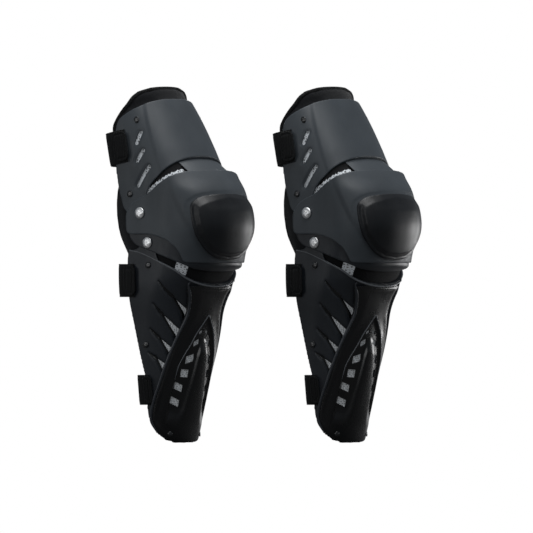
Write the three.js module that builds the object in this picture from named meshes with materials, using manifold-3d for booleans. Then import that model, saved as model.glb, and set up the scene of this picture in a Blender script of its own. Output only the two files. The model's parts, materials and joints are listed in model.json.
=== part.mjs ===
// A pair of hinged motorcycle knee and shin guards.
//
// Each guard is a chain of moulded shells on a padded liner: a thigh shell, a knee cup with a
// proud wear cap, a link plate under the cup, and a long shin shell with a glossy spine over its
// front.  The thigh shell turns in the cup about the upper pair of rivets, and the cup and link
// turn on the shin shell about the lower pair.  Three straps close each guard behind the leg.
//
// Units are millimetres.  +Z is up, -Y is the front of the leg, X runs across the leg.  The origin
// lies on the level of the lowest edge, midway between the two legs.

import * as THREE from "three";
import { mergeVertices } from "three/addons/utils/BufferGeometryUtils.js";
import Module from "manifold-3d";

const wasm = await Module();
wasm.setup();

// ---- Driving dimensions ------------------------------------------------------------------------

const GUARD_SPACING = 361; // between the centre planes of the two guards
const GAP = 0.35; // working gap between pieces that touch

const UPPER_HINGE = { y: 0, z: 323 };
const LOWER_HINGE = { y: -11, z: 281.7 };
const THIGH_LEAN = 35; // degrees that the thigh shell leans back
const SHIN_LEAN = -10; // degrees that the shin shell leans back (its top leans forward)

const SHELL = 2.4; // wall of every moulded shell
const SPINE_WALL = 2.6;
const LINER_GAP = 3.0; // room between a shell and its liner, for rivet ends
const LINER = 7; // thickness of the padded liner

const RIVET_HEAD = 14; // hinge rivets
const RIVET_SHANK = 6.4;
const RIVET_RISE = 2.7; // height of a rivet's domed head
const RIVET_FOOT = 1.4; // thickness of its spread inner end
const RIVET_FLANGE = 2.4; // how far that end spreads beyond the shank
const SNAP_HEAD = 9.5; // small rivets that hold the liner
const SNAP_SHANK = 4;
const SNAP_RISE = 1.7;
const SNAP_FOOT = 0.6; // how far a snap stands out inside the shell

const STRAP = 2.4; // webbing thickness
const STRAP_GAP = 1.2;
const STRAP_BACK_SHARE = 0.6; // part of a strap's length that lies behind the leg
const TAB = 2.2; // folded end of a strap
const TAB_LIFT = STRAP_GAP + STRAP + 3 * GAP; // from the shell's face to the underside of a tab
const HOLE_CLEAR = 0.6;

const DOME_EDGE = 4.2; // how far the wear cap stands proud of the cup at its rim
const DOME_CROWN = 4.3; // and how much more in its middle
const DOME_MIDDLE = -18; // level of its fullest point
const DOME_HALF_HEIGHT = 50;
const DOME_HALF_SHARE = 0.55;

const KNEE_PAD = 10; // thickness of the pad behind the cup
const KNEE_PAD_HALF = 56;
const KNEE_PAD_GAP = 2;

// Sections of each shell, one row a level: [level, half width, start of the straight side,
// front, squareness].  Levels run up from the shell's hinge along its leaning axis.
const THIGH_SECTIONS = [
  [-20, 73.3, -20, -81, 2.4],
  [30, 73.3, -20, -81, 2.4],
  [60, 75.5, -20, -81, 2.4],
  [100, 77, -20, -81, 2.4],
  [165, 77, -20, -80, 2.4],
];
const CUP_SECTIONS = [
  [-96, 79.6, -30, -66, 2.0],
  [-84, 79.6, -30, -77, 2.0],
  [-75, 79.6, -30, -86, 2.2],
  [-60, 79.6, -30, -92, 2.2],
  [-40, 79.6, -30, -97, 2.3],
  [-20, 79.6, -30, -100, 2.4],
  [0, 79.6, -30, -98, 2.4],
  [20, 79.6, -30, -92, 2.3],
  [34, 79.6, -30, -85, 2.2],
  [49, 79.6, -30, -72, 2.0],
  [60, 79.6, -30, -61, 2.0],
  [68, 79.6, -30, -52, 2.0],
];
const SHIN_SECTIONS = [
  [-292, 43, -6, -49, 2.1],
  [-257, 48, -5, -53, 2.1],
  [-190, 58, 0, -60, 2.05],
  [-151, 63, 2, -61, 2.0],
  [-112, 67.5, 0, -60.5, 2.0],
  [-84, 71, -4, -61, 2.0],
  [-62, 73, -10, -63.5, 2.1],
  [-40, 73.3, -16, -70, 2.2],
  [16, 73.3, -18, -78, 2.2],
];

// ---- Solids ------------------------------------------------------------------------------------

function volumeOf(geometry) {
  const position = geometry.getAttribute("position");
  const index = geometry.index;
  const a = new THREE.Vector3();
  const b = new THREE.Vector3();
  const c = new THREE.Vector3();
  let sum = 0;
  for (let i = 0; i < index.count; i += 3) {
    a.fromBufferAttribute(position, index.getX(i));
    b.fromBufferAttribute(position, index.getX(i + 1));
    c.fromBufferAttribute(position, index.getX(i + 2));
    sum += a.dot(b.cross(c)) / 6;
  }
  return sum;
}

// A closed geometry with shared corners and faces that point out.
function closed(source) {
  const loose = source.clone();
  loose.deleteAttribute("normal");
  loose.deleteAttribute("uv");
  const geometry = mergeVertices(loose, 1e-4);
  if (volumeOf(geometry) < 0) {
    const index = geometry.index;
    for (let i = 0; i < index.count; i += 3) {
      const first = index.getX(i);
      index.setX(i, index.getX(i + 2));
      index.setX(i + 2, first);
    }
  }
  return geometry;
}

function solid(source) {
  const geometry = closed(source);
  const vertProperties = new Float32Array(geometry.getAttribute("position").array);
  const triVerts = new Uint32Array(geometry.index.array);
  return new wasm.Manifold(new wasm.Mesh({ numProp: 3, vertProperties, triVerts }));
}

function geometryOf(manifold) {
  const mesh = manifold.getMesh();
  const geometry = new THREE.BufferGeometry();
  geometry.setAttribute("position", new THREE.BufferAttribute(new Float32Array(mesh.vertProperties), 3));
  geometry.setIndex(new THREE.BufferAttribute(new Uint32Array(mesh.triVerts), 1));
  geometry.computeVertexNormals();
  return geometry;
}

// A block bent into a sheet: place(u, v, t) gives the point at u and v over the sheet and t through it.
function bentSheet(across, along, place) {
  const block = new THREE.BoxGeometry(1, 1, 1, across, along, 1);
  const position = block.getAttribute("position");
  const point = new THREE.Vector3();
  for (let i = 0; i < position.count; i += 1) {
    point.fromBufferAttribute(position, i);
    const at = place(point.x + 0.5, point.y + 0.5, point.z + 0.5);
    position.setXYZ(i, at.x, at.y, at.z);
  }
  return solid(block);
}

// ---- Sections and frames -----------------------------------------------------------------------

const radians = THREE.MathUtils.degToRad;

// A shell's own frame: level along its axis, depth across it, X across the leg.
function frameAt(hinge, lean) {
  const s = Math.sin(radians(lean));
  const c = Math.cos(radians(lean));
  return {
    point: (x, depth, level) => new THREE.Vector3(
      x,
      hinge.y + depth * c + level * s,
      hinge.z - depth * s + level * c,
    ),
    local: (y, z) => ({
      depth: (y - hinge.y) * c - (z - hinge.z) * s,
      level: (y - hinge.y) * s + (z - hinge.z) * c,
    }),
  };
}

const thighFrame = frameAt(UPPER_HINGE, THIGH_LEAN);
const cupFrame = frameAt(UPPER_HINGE, 0);
const shinFrame = frameAt(LOWER_HINGE, SHIN_LEAN);

// The section at a level, on a smooth curve through the rows.
function sectionAt(rows, level) {
  const last = rows.length - 1;
  let i = 0;
  while (i < last - 1 && level > rows[i + 1][0]) {
    i += 1;
  }
  const span = rows[i + 1][0] - rows[i][0];
  const t = THREE.MathUtils.clamp((level - rows[i][0]) / span, 0, 1);
  const value = (column) => {
    const slope = (k) => {
      const lo = Math.max(k - 1, 0);
      const hi = Math.min(k + 1, last);
      return (rows[hi][column] - rows[lo][column]) / (rows[hi][0] - rows[lo][0]);
    };
    const a = rows[i][column];
    const b = rows[i + 1][column];
    const t2 = t * t;
    const t3 = t2 * t;
    return (2 * t3 - 3 * t2 + 1) * a + (t3 - 2 * t2 + t) * span * slope(i)
      + (3 * t2 - 2 * t3) * b + (t3 - t2) * span * slope(i + 1);
  };
  return { half: value(1), side: value(2), front: value(3), power: value(4) };
}

// A point of the section's outline: u runs from -1 (left rear) through 0 (front) to 1 (right rear).
const FRONT_SHARE = 0.72;

function outline(section, u, rear) {
  const sign = Math.sign(u) || 1;
  const size = Math.abs(u);
  if (size <= FRONT_SHARE) {
    const angle = (size / FRONT_SHARE) * (Math.PI / 2);
    const x = section.half * Math.pow(Math.sin(angle), 2 / section.power);
    const run = section.side - section.front;
    const depth = section.side - run * Math.pow(Math.max(Math.cos(angle), 0), 2 / section.power);
    return { x: sign * x, depth };
  }
  const s = (size - FRONT_SHARE) / (1 - FRONT_SHARE);
  return { x: sign * section.half, depth: section.side + s * (rear - section.side) };
}

// The same point moved out (or in, when negative) square to the outline.
function offsetOutline(section, u, rear, distance) {
  const here = outline(section, u, rear);
  const step = 0.004;
  const before = outline(section, Math.max(u - step, -1), rear);
  const after = outline(section, Math.min(u + step, 1), rear);
  const dx = after.x - before.x;
  const dd = after.depth - before.depth;
  const length = Math.hypot(dx, dd);
  return { x: here.x + (dd / length) * distance, depth: here.depth - (dx / length) * distance };
}

// A C-shaped wall that follows the sections, between two distances from their outline.
function wall({ frame, rows, low, high, rear, inner, outer, across, along }) {
  return bentSheet(across, along, (u, v, t) => {
    const level = low + v * (high - low);
    const distance = typeof outer === "function"
      ? inner + t * (outer(u * 2 - 1, level) - inner)
      : inner + t * (outer - inner);
    const at = offsetOutline(sectionAt(rows, level), u * 2 - 1, rear, distance);
    return frame.point(at.x, at.depth, level);
  });
}

// The half width of a shell's outer face at a point seen from the side.
function sideX(frame, rows, y, z) {
  const { depth, level } = frame.local(y, z);
  const section = sectionAt(rows, level);
  if (depth >= section.side) {
    return section.half;
  }
  const ratio = Math.min((section.side - depth) / (section.side - section.front), 1);
  return section.half * Math.pow(1 - Math.pow(ratio, section.power), 1 / section.power);
}

// ---- Profiles ----------------------------------------------------------------------------------

// A side view drawn in a shell's frame as [depth, level] points, pushed right across the leg.
function sideCut(frame, points, xFrom, xTo) {
  const shape = new THREE.Shape(points.map(([depth, level]) => {
    const at = frame.point(0, depth, level);
    return new THREE.Vector2(at.y, at.z);
  }));
  const geometry = new THREE.ExtrudeGeometry(shape, { depth: xTo - xFrom, bevelEnabled: false });
  // the drawing plane becomes Y-Z, and the push runs along X
  geometry.applyMatrix4(new THREE.Matrix4().set(0, 0, 1, xFrom, 1, 0, 0, 0, 0, 1, 0, 0, 0, 0, 0, 1));
  return solid(geometry);
}

// A front view drawn as [x, level] points, pushed from one depth to another.
function frontCut(frame, points, depthFrom, depthTo) {
  const shape = new THREE.Shape(points.map(([x, level]) => new THREE.Vector2(x, level)));
  const geometry = new THREE.ExtrudeGeometry(shape, { depth: depthTo - depthFrom, bevelEnabled: false });
  const position = geometry.getAttribute("position");
  const point = new THREE.Vector3();
  for (let i = 0; i < position.count; i += 1) {
    point.fromBufferAttribute(position, i);
    const at = frame.point(point.x, depthFrom + point.z, point.y);
    position.setXYZ(i, at.x, at.y, at.z);
  }
  return solid(geometry);
}

// A round pin along X.
function pin(radius, xFrom, xTo, y, z, sides) {
  const cylinder = new THREE.CylinderGeometry(radius, radius, xTo - xFrom, sides);
  cylinder.rotateZ(Math.PI / 2);
  cylinder.translate((xFrom + xTo) / 2, y, z);
  return solid(cylinder);
}

// A slot with round ends, drawn in a shell's side view between two points.
function slotPoints([d0, l0], [d1, l1], width) {
  const along = Math.atan2(l1 - l0, d1 - d0);
  const points = [];
  for (let k = 0; k <= 3; k += 1) {
    const angle = along + Math.PI / 2 + (k * Math.PI) / 3;
    points.push([d0 + (width / 2) * Math.cos(angle), l0 + (width / 2) * Math.sin(angle)]);
  }
  for (let k = 0; k <= 3; k += 1) {
    const angle = along - Math.PI / 2 + (k * Math.PI) / 3;
    points.push([d1 + (width / 2) * Math.cos(angle), l1 + (width / 2) * Math.sin(angle)]);
  }
  return points;
}

const REACH = 110; // half the push of a cut that crosses the whole guard
const SLOT_CUT = 45; // where a cut in one side of the thigh shell starts
const SLASH_CUT = 20; // where a cut in one side of the shin shell starts
const SHIN_FRONT_CUT = [-100, -25]; // depths between which the shin's windows are cut
const KNEE_FRONT_CUT = [-140, -20]; // depths between which the cap and pad are trimmed

function bothSides(body, cut, from) {
  return body.subtract(cut(-REACH, -from)).subtract(cut(from, REACH));
}

// ---- Thigh -------------------------------------------------------------------------------------

const THIGH_OUTLINE = [
  [26, 26], [16, 52], [3, 78], [-14, 104], [-30, 125], [-40, 131.5], [-58, 134.5], [-100, 135.5],
  [-100, 36], [-84, 36], [-78, 30], [-68, 26], [-50, 23], [-30, 19.5], [-17, 14], [-12.5, 4],
  [-9, -9], [0, -13], [9, -9], [14, 1], [21, 12],
];
const THIGH_SLOTS = [
  { from: [-55, 96], to: [-45, 87], width: 6 },
  { from: [-47, 72], to: [-33, 65], width: 6.5 },
  { from: [-42, 47.5], to: [-14, 36.5], width: 6.5 },
];
const THIGH_SNAPS = [[-60, 116], [4, 35]];
const SHIN_SNAPS = [[-4, -31], [-10, -142]];

function snapSpots(frame, spots) {
  return spots.map(([depth, level]) => frame.point(0, depth, level));
}

function drill(body, spots, diameter) {
  let result = body;
  spots.forEach((spot) => {
    result = result.subtract(pin(diameter / 2, -REACH, REACH, spot.y, spot.z, 8));
  });
  return result;
}

function thighShell() {
  let body = wall({
    frame: thighFrame, rows: THIGH_SECTIONS, low: -16, high: 140, rear: 34,
    inner: -SHELL, outer: 0, across: 16, along: 3,
  });
  body = body.intersect(sideCut(thighFrame, THIGH_OUTLINE, -REACH, REACH));
  THIGH_SLOTS.forEach((slot) => {
    const points = slotPoints(slot.from, slot.to, slot.width);
    body = bothSides(body, (a, b) => sideCut(thighFrame, points, a, b), SLOT_CUT);
  });
  body = drill(body, [UPPER_HINGE], RIVET_SHANK + HOLE_CLEAR);
  return drill(body, snapSpots(thighFrame, THIGH_SNAPS), SNAP_SHANK + HOLE_CLEAR);
}

const THIGH_LINER_OUTLINE = [
  [22, 36], [13, 62], [0, 88], [-13, 112], [-23, 130], [-33, 137.5], [-47, 144], [-61, 150.5],
  [-70, 157], [-77, 160], [-100, 160], [-100, 38], [-60, 34], [-20, 31], [4, 30],
];

function thighLiner() {
  const body = wall({
    frame: thighFrame, rows: THIGH_SECTIONS, low: 26, high: 162, rear: 30,
    inner: -SHELL - LINER_GAP - LINER, outer: -SHELL - LINER_GAP, across: 14, along: 2,
  });
  return body.intersect(sideCut(thighFrame, THIGH_LINER_OUTLINE, -REACH, REACH));
}

// ---- Knee --------------------------------------------------------------------------------------

const CUP_OUTLINE = [
  [27, -2], [20, 10], [8, 19], [-12, 26], [-31, 40], [-46, 50], [-58, 58.5], [-64, 62], [-112, 62],
  [-112, -70], [-66, -70], [-64.5, -60], [-59, -48], [-45, -37], [-28, -32], [-12, -29.5],
  [20, -30], [26, -26],
];
const LINK_OUTLINE = [
  [23, -24], [17, -2], [10, 11], [0, 14], [-11, 10], [-22, -4], [-42, -24], [-66, -44], [-112, -54],
  [-112, -84], [-80, -84], [-74, -80], [-66, -72.5], [-43, -62], [-14, -52.5], [10, -46], [21, -36],
];
const DOME_OUTLINE = [
  [0, 27], [22, 26.3], [43, 24], [54, 20.5], [62, 14.5], [64.5, 7], [65, -3], [63.5, -17.5],
  [59, -32], [51, -44], [40, -55.5], [24, -63.5], [0, -66.5],
];

function knee({ outlinePoints, inner, outer, low, high, along, across }) {
  const body = wall({ frame: cupFrame, rows: CUP_SECTIONS, low, high, rear: 32, inner, outer, across, along });
  return body.intersect(sideCut(cupFrame, outlinePoints, -REACH, REACH));
}

function kneeCup() {
  const body = knee({
    outlinePoints: CUP_OUTLINE, inner: -SHELL, outer: 0, low: -88, high: 66, along: 6, across: 16,
  });
  return drill(body, [UPPER_HINGE], RIVET_SHANK + HOLE_CLEAR);
}

function linkPlate() {
  const body = knee({
    outlinePoints: LINK_OUTLINE, inner: -2 * SHELL - 3 * GAP, outer: -SHELL - 3 * GAP,
    low: -88, high: 66, along: 6, across: 16,
  });
  return drill(body, [UPPER_HINGE, LOWER_HINGE], RIVET_SHANK + HOLE_CLEAR);
}

// The wear cap stands proud of the cup and is fullest in its middle.
function domeRise(u, level) {
  const across = THREE.MathUtils.clamp(Math.abs(u) / DOME_HALF_SHARE, 0, 1);
  const along = THREE.MathUtils.clamp(Math.abs(level - DOME_MIDDLE) / DOME_HALF_HEIGHT, 0, 1);
  return DOME_EDGE + DOME_CROWN * (1 - across * across) * (1 - along * along);
}

function kneeDome() {
  const body = wall({
    frame: cupFrame, rows: CUP_SECTIONS, low: -88, high: 66, rear: 32,
    inner: 2 * GAP, outer: domeRise, across: 16, along: 6,
  });
  const left = DOME_OUTLINE.slice(1, -1).reverse().map(([x, level]) => [-x, level]);
  const front = frontCut(cupFrame, [...DOME_OUTLINE, ...left], ...KNEE_FRONT_CUT);
  return body.intersect(front);
}

const KNEE_PAD_OUTLINE = [
  [-30, 30], [-46, 40], [-58, 47], [-112, 47], [-112, -66], [-58, -62], [-36, -34], [-30, -16],
];

function kneePad() {
  const outer = -2 * SHELL - 2 * GAP - KNEE_PAD_GAP;
  const body = wall({
    frame: cupFrame, rows: CUP_SECTIONS, low: -68, high: 50, rear: 0,
    inner: outer - KNEE_PAD, outer, across: 12, along: 3,
  });
  const half = KNEE_PAD_HALF;
  const square = [[-half, -80], [half, -80], [half, 60], [-half, 60]];
  const front = frontCut(cupFrame, square, ...KNEE_FRONT_CUT);
  return body.intersect(sideCut(cupFrame, KNEE_PAD_OUTLINE, -REACH, REACH)).intersect(front);
}

// ---- Shin --------------------------------------------------------------------------------------

const SHIN_OUTLINE = [
  [36, -16], [34, -35], [29, -62], [23.5, -88], [16, -109], [8.5, -130], [-6, -171], [-14, -193],
  [-17.5, -228], [-22, -246], [-34, -262], [-44, -269], [-90, -273], [-110, -273], [-110, -49],
  [-68, -49], [-58, -42], [-44, -31], [-20, -24], [-13, -10], [-9, 9], [0, 13], [9, 9], [13, -4],
  [22, -12],
];
const SPINE_OUTLINE = [
  [-58, -51], [-55.5, -74], [-53.6, -93], [-50.5, -110], [-46, -131], [-42, -150], [-38, -170],
  [-33.5, -194], [-29.5, -214], [-27, -233], [-28, -247], [-36, -261], [-50, -269.5],
  [-110, -271.5], [-110, -51],
];
const SLASHES = [
  [[-41, -68], [-53, -86], [-54, -94], [-51, -103], [-47.5, -88.5]],
  [[-29, -95], [-38.7, -104], [-48, -115], [-46, -131], [-42, -121]],
  [[-27, -129], [-34.5, -134.5], [-43, -142.5], [-40.5, -153], [-36.3, -145]],
  [[-24.7, -158], [-31.5, -161.7], [-38, -166.5], [-35.5, -178], [-30.5, -169]],
];
const WINDOWS = [
  { x: 6, level: -116, width: 7, height: 5, slope: 0.55 },
  { x: 12, level: -131, width: 10, height: 8, slope: 0.55 },
  { x: 19, level: -154, width: 13, height: 11, slope: 0.4 },
  { x: 23.5, level: -175, width: 12, height: 11, slope: 0 },
  { x: 28.5, level: -195, width: 12, height: 10, slope: -0.4 },
  { x: 30, level: -216, width: 13, height: 10, slope: -0.45 },
];

// The shin shell has one long opening behind each row of windows.
const OPENING = [
  [2, -113], [10, -109], [21, -132], [29, -155], [34, -180], [40, -200], [40, -226], [22, -227],
  [18, -200], [12, -165], [6, -138],
];

function windowPoints({ x, level, width, height, slope }, side) {
  const rise = width * slope;
  return [
    [side * (x - width / 2), level - height / 2 + rise / 2],
    [side * (x + width / 2), level - height / 2 - rise / 2],
    [side * (x + width / 2), level + height / 2 - rise / 2],
    [side * (x - width / 2), level + height / 2 + rise / 2],
  ];
}

function cutFront(body, shapes) {
  let result = body;
  shapes.forEach((points) => {
    result = result.subtract(frontCut(shinFrame, points, ...SHIN_FRONT_CUT));
  });
  return result;
}

function shinShell() {
  let body = wall({
    frame: shinFrame, rows: SHIN_SECTIONS, low: -288, high: 16, rear: 44,
    inner: -SHELL, outer: 0, across: 16, along: 6,
  });
  body = body.intersect(sideCut(shinFrame, SHIN_OUTLINE, -REACH, REACH));
  SLASHES.forEach((points) => {
    body = bothSides(body, (a, b) => sideCut(shinFrame, points, a, b), SLASH_CUT);
  });
  body = cutFront(body, [-1, 1].map((side) => OPENING.map(([x, level]) => [side * x, level])));
  body = drill(body, [LOWER_HINGE], RIVET_SHANK + HOLE_CLEAR);
  return drill(body, snapSpots(shinFrame, SHIN_SNAPS), SNAP_SHANK + HOLE_CLEAR);
}

function shinSpine() {
  const body = wall({
    frame: shinFrame, rows: SHIN_SECTIONS, low: -288, high: 16, rear: 44,
    inner: 2 * GAP, outer: 2 * GAP + SPINE_WALL, across: 16, along: 6,
  });
  const panes = [-1, 1].flatMap((side) => WINDOWS.map((pane) => windowPoints(pane, side)));
  return cutFront(body.intersect(sideCut(shinFrame, SPINE_OUTLINE, -REACH, REACH)), panes);
}

const SHIN_LINER_OUTLINE = [
  [38, -34], [34, -60], [26.5, -90], [11, -130], [-4, -171], [-12, -195], [-15.5, -230],
  [-20, -250], [-32, -268], [-46, -277], [-100, -282.8], [-100, -56], [-62, -52], [-44, -38],
  [-16, -30],
];

function shinLiner() {
  const body = wall({
    frame: shinFrame, rows: SHIN_SECTIONS, low: -286, high: -26, rear: 42,
    inner: -SHELL - LINER_GAP - LINER, outer: -SHELL - LINER_GAP, across: 12, along: 4,
  });
  return body.intersect(sideCut(shinFrame, SHIN_LINER_OUTLINE, -REACH, REACH));
}

// ---- Rivets ------------------------------------------------------------------------------------

// A hinge rivet: domed head outside, shank through both plates, flat end inside.
function hingeRivet(headFace, innerFace, hinge, side) {
  const head = RIVET_HEAD / 2;
  const shank = RIVET_SHANK / 2;
  const foot = innerFace - GAP;
  const face = headFace + GAP;
  const profile = [
    [0, foot - RIVET_FOOT], [shank + RIVET_FLANGE, foot - RIVET_FOOT], [shank + RIVET_FLANGE, foot],
    [shank, foot], [shank, face], [head, face], [head, face + 0.3 * RIVET_RISE],
    [head * 0.6, face + 0.9 * RIVET_RISE], [0, face + RIVET_RISE],
  ];
  const lathe = new THREE.LatheGeometry(profile.map(([r, h]) => new THREE.Vector2(r, h)), 10);
  lathe.rotateZ(-Math.PI / 2);
  if (side < 0) {
    lathe.rotateZ(Math.PI);
  }
  lathe.translate(0, hinge.y, hinge.z);
  return closed(lathe);
}

// A small snap rivet square to the shell at a point of its side view.
function snapRivet(frame, rows, [depth, level], side) {
  const at = frame.point(0, depth, level);
  const step = 2;
  const x = sideX(frame, rows, at.y, at.z);
  const slopeY = (sideX(frame, rows, at.y + step, at.z) - sideX(frame, rows, at.y - step, at.z)) / (2 * step);
  const slopeZ = (sideX(frame, rows, at.y, at.z + step) - sideX(frame, rows, at.y, at.z - step)) / (2 * step);
  const rise = GAP + (SNAP_HEAD / 2) * Math.hypot(slopeY, slopeZ) * 0.55; // clears the sloped face
  const head = SNAP_HEAD / 2;
  const shank = SNAP_SHANK / 2;
  const profile = [
    [0, -SHELL - SNAP_FOOT], [shank, -SHELL - SNAP_FOOT], [shank, rise], [head, rise],
    [head * 0.6, rise + 0.9 * SNAP_RISE], [0, rise + SNAP_RISE],
  ];
  const lathe = new THREE.LatheGeometry(profile.map(([r, h]) => new THREE.Vector2(r, h)), 6);
  lathe.rotateZ((-Math.PI / 2) * side);
  lathe.translate(side * x, at.y, at.z);
  return closed(lathe);
}

// ---- Straps ------------------------------------------------------------------------------------

// A strap lies along both sides of its shell and crosses behind the leg.
function strap({ frame, rows, centre, width, front, rear, bow }) {
  return bentSheet(20, 2, (u, v, t) => {
    const z = centre + (v - 0.5) * width;
    const side = u < 0.5 ? -1 : 1;
    const along = Math.abs(u - 0.5) * 2; // 0 at the middle of the back, 1 at the strap's ends
    const edge = sideX(frame, rows, rear, z) + STRAP_GAP;
    if (along <= STRAP_BACK_SHARE) {
      const angle = (along / STRAP_BACK_SHARE) * (Math.PI / 2);
      const flat = 2 / 3;
      const x = (edge + t * STRAP) * Math.pow(Math.sin(angle), flat);
      const y = rear + (bow + t * STRAP) * Math.pow(Math.max(Math.cos(angle), 0), flat);
      return new THREE.Vector3(side * x, y, z);
    }
    const y = rear + ((along - STRAP_BACK_SHARE) / (1 - STRAP_BACK_SHARE)) * (front - rear);
    return new THREE.Vector3(side * (sideX(frame, rows, y, z) + STRAP_GAP + t * STRAP), y, z);
  });
}

// A patch that lies on the outside of the strap on one side of the guard.
function patch({ frame, rows, centre, width, front, rear, side, thickness }) {
  return bentSheet(4, 2, (u, v, t) => {
    const z = centre + (v - 0.5) * width;
    const y = front + u * (rear - front);
    return new THREE.Vector3(side * (sideX(frame, rows, y, z) + TAB_LIFT + t * thickness), y, z);
  });
}

const STRAPS = [
  { name: "thigh", frame: thighFrame, rows: THIGH_SECTIONS, centre: 418, width: 46, front: 16, rear: 49, bow: 22 },
  { name: "upper_calf", frame: shinFrame, rows: SHIN_SECTIONS, centre: 229, width: 46, front: 5, rear: 33, bow: 20 },
  { name: "lower_calf", frame: shinFrame, rows: SHIN_SECTIONS, centre: 77, width: 42, front: 1, rear: 17, bow: 18 },
];

// ---- Materials ---------------------------------------------------------------------------------

const material = (colour, roughness, metalness) => () => new THREE.MeshStandardMaterial({
  color: colour, roughness, metalness,
});
const slatePlastic = material(0x3a3f45, 0.5, 0);
const blackPlastic = material(0x1c1e21, 0.45, 0);
const glossPlastic = material(0x0d0e10, 0.2, 0);
const linerFabric = material(0x17181a, 0.95, 0);
const foam = material(0x202225, 0.9, 0);
const webbing = material(0x141517, 0.85, 0);
const steel = material(0xc9ccd0, 0.3, 1);

// ---- Assembly ----------------------------------------------------------------------------------

const cupOuter = CUP_SECTIONS[0][1];
const linkOuter = cupOuter - SHELL - 3 * GAP;
const lugInner = THIGH_SECTIONS[0][1] - SHELL;

const PIECES = [];

function piece(name, geometry, look) {
  PIECES.push({ name, geometry, look });
}

piece("thigh_shell", geometryOf(thighShell()), slatePlastic);
piece("thigh_liner", geometryOf(thighLiner()), linerFabric);
piece("knee_cup", geometryOf(kneeCup()), slatePlastic);
piece("knee_dome", geometryOf(kneeDome()), blackPlastic);
piece("link_plate", geometryOf(linkPlate()), blackPlastic);
piece("knee_pad", geometryOf(kneePad()), foam);
piece("shin_shell", geometryOf(shinShell()), blackPlastic);
piece("shin_spine", geometryOf(shinSpine()), glossPlastic);
piece("shin_liner", geometryOf(shinLiner()), linerFabric);

STRAPS.forEach((band) => {
  piece(`${band.name}_strap`, geometryOf(strap(band)), webbing);
  const grip = { ...band, front: band.front + 1, rear: band.rear - 2, width: band.width - 4 };
  piece(`${band.name}_tab`, geometryOf(patch({ ...grip, side: -1, thickness: TAB })), webbing);
  piece(`${band.name}_anchor`, geometryOf(patch({ ...grip, side: 1, thickness: TAB })), blackPlastic);
});

[["left", -1], ["right", 1]].forEach(([word, side]) => {
  piece(`upper_rivet_${word}`, hingeRivet(cupOuter, lugInner, UPPER_HINGE, side), steel);
  piece(`lower_rivet_${word}`, hingeRivet(linkOuter, lugInner, LOWER_HINGE, side), steel);
  THIGH_SNAPS.forEach((spot, k) => {
    piece(`thigh_snap_${word}_${k + 1}`, snapRivet(thighFrame, THIGH_SECTIONS, spot, side), steel);
  });
  SHIN_SNAPS.forEach((spot, k) => {
    piece(`shin_snap_${word}_${k + 1}`, snapRivet(shinFrame, SHIN_SECTIONS, spot, side), steel);
  });
});

const pair = new THREE.Group();
[["a", -GUARD_SPACING / 2], ["b", GUARD_SPACING / 2]].forEach(([tag, x]) => {
  const guard = new THREE.Group();
  guard.position.set(x, 0, 0);
  PIECES.forEach(({ name, geometry, look }) => {
    const mesh = new THREE.Mesh(geometry.clone(), look());
    mesh.name = `${tag}_${name}`;
    guard.add(mesh);
  });
  pair.add(guard);
});

export default pair;
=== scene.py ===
import json
import math
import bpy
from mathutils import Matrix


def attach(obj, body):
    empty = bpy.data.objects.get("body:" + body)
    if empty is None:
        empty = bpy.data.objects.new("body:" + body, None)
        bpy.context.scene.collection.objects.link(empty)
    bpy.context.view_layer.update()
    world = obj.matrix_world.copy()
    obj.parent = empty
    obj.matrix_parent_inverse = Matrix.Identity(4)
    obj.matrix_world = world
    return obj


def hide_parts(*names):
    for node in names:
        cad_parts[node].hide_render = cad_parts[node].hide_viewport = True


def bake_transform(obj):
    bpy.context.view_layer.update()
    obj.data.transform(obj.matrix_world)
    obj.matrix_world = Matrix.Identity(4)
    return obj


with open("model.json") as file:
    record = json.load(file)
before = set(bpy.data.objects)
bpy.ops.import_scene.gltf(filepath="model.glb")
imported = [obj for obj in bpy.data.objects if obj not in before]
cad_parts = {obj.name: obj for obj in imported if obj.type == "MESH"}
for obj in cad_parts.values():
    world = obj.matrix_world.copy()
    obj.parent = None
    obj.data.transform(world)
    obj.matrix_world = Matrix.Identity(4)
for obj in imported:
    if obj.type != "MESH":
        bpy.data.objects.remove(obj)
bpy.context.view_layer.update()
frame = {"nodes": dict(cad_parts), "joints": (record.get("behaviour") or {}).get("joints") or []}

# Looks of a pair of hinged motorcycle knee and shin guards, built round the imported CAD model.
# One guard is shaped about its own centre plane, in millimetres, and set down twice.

from types import SimpleNamespace

import bmesh
import bpy
import numpy as np
from mathutils import Vector

MM = 0.001

JOINTS = {j["name"]: j for j in frame["joints"]}
UPPER = [v / MM for v in JOINTS["a_upper_hinge"]["pos_m"]]
LOWER = [v / MM for v in JOINTS["a_lower_hinge"]["pos_m"]]
CENTRES = {tag: JOINTS[f"{tag}_upper_hinge"]["pos_m"][0] for tag in "ab"}

# ---- Dimensions, in millimetres

THIGH_LEAN = 35
SHIN_LEAN = -10
SHELL = 2.4
VOXEL = 1.0
SPREAD = 115  # half the width of a cut that crosses the guard
FRONT_SHARE = 0.72  # of the way round a section, the curved part

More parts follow.
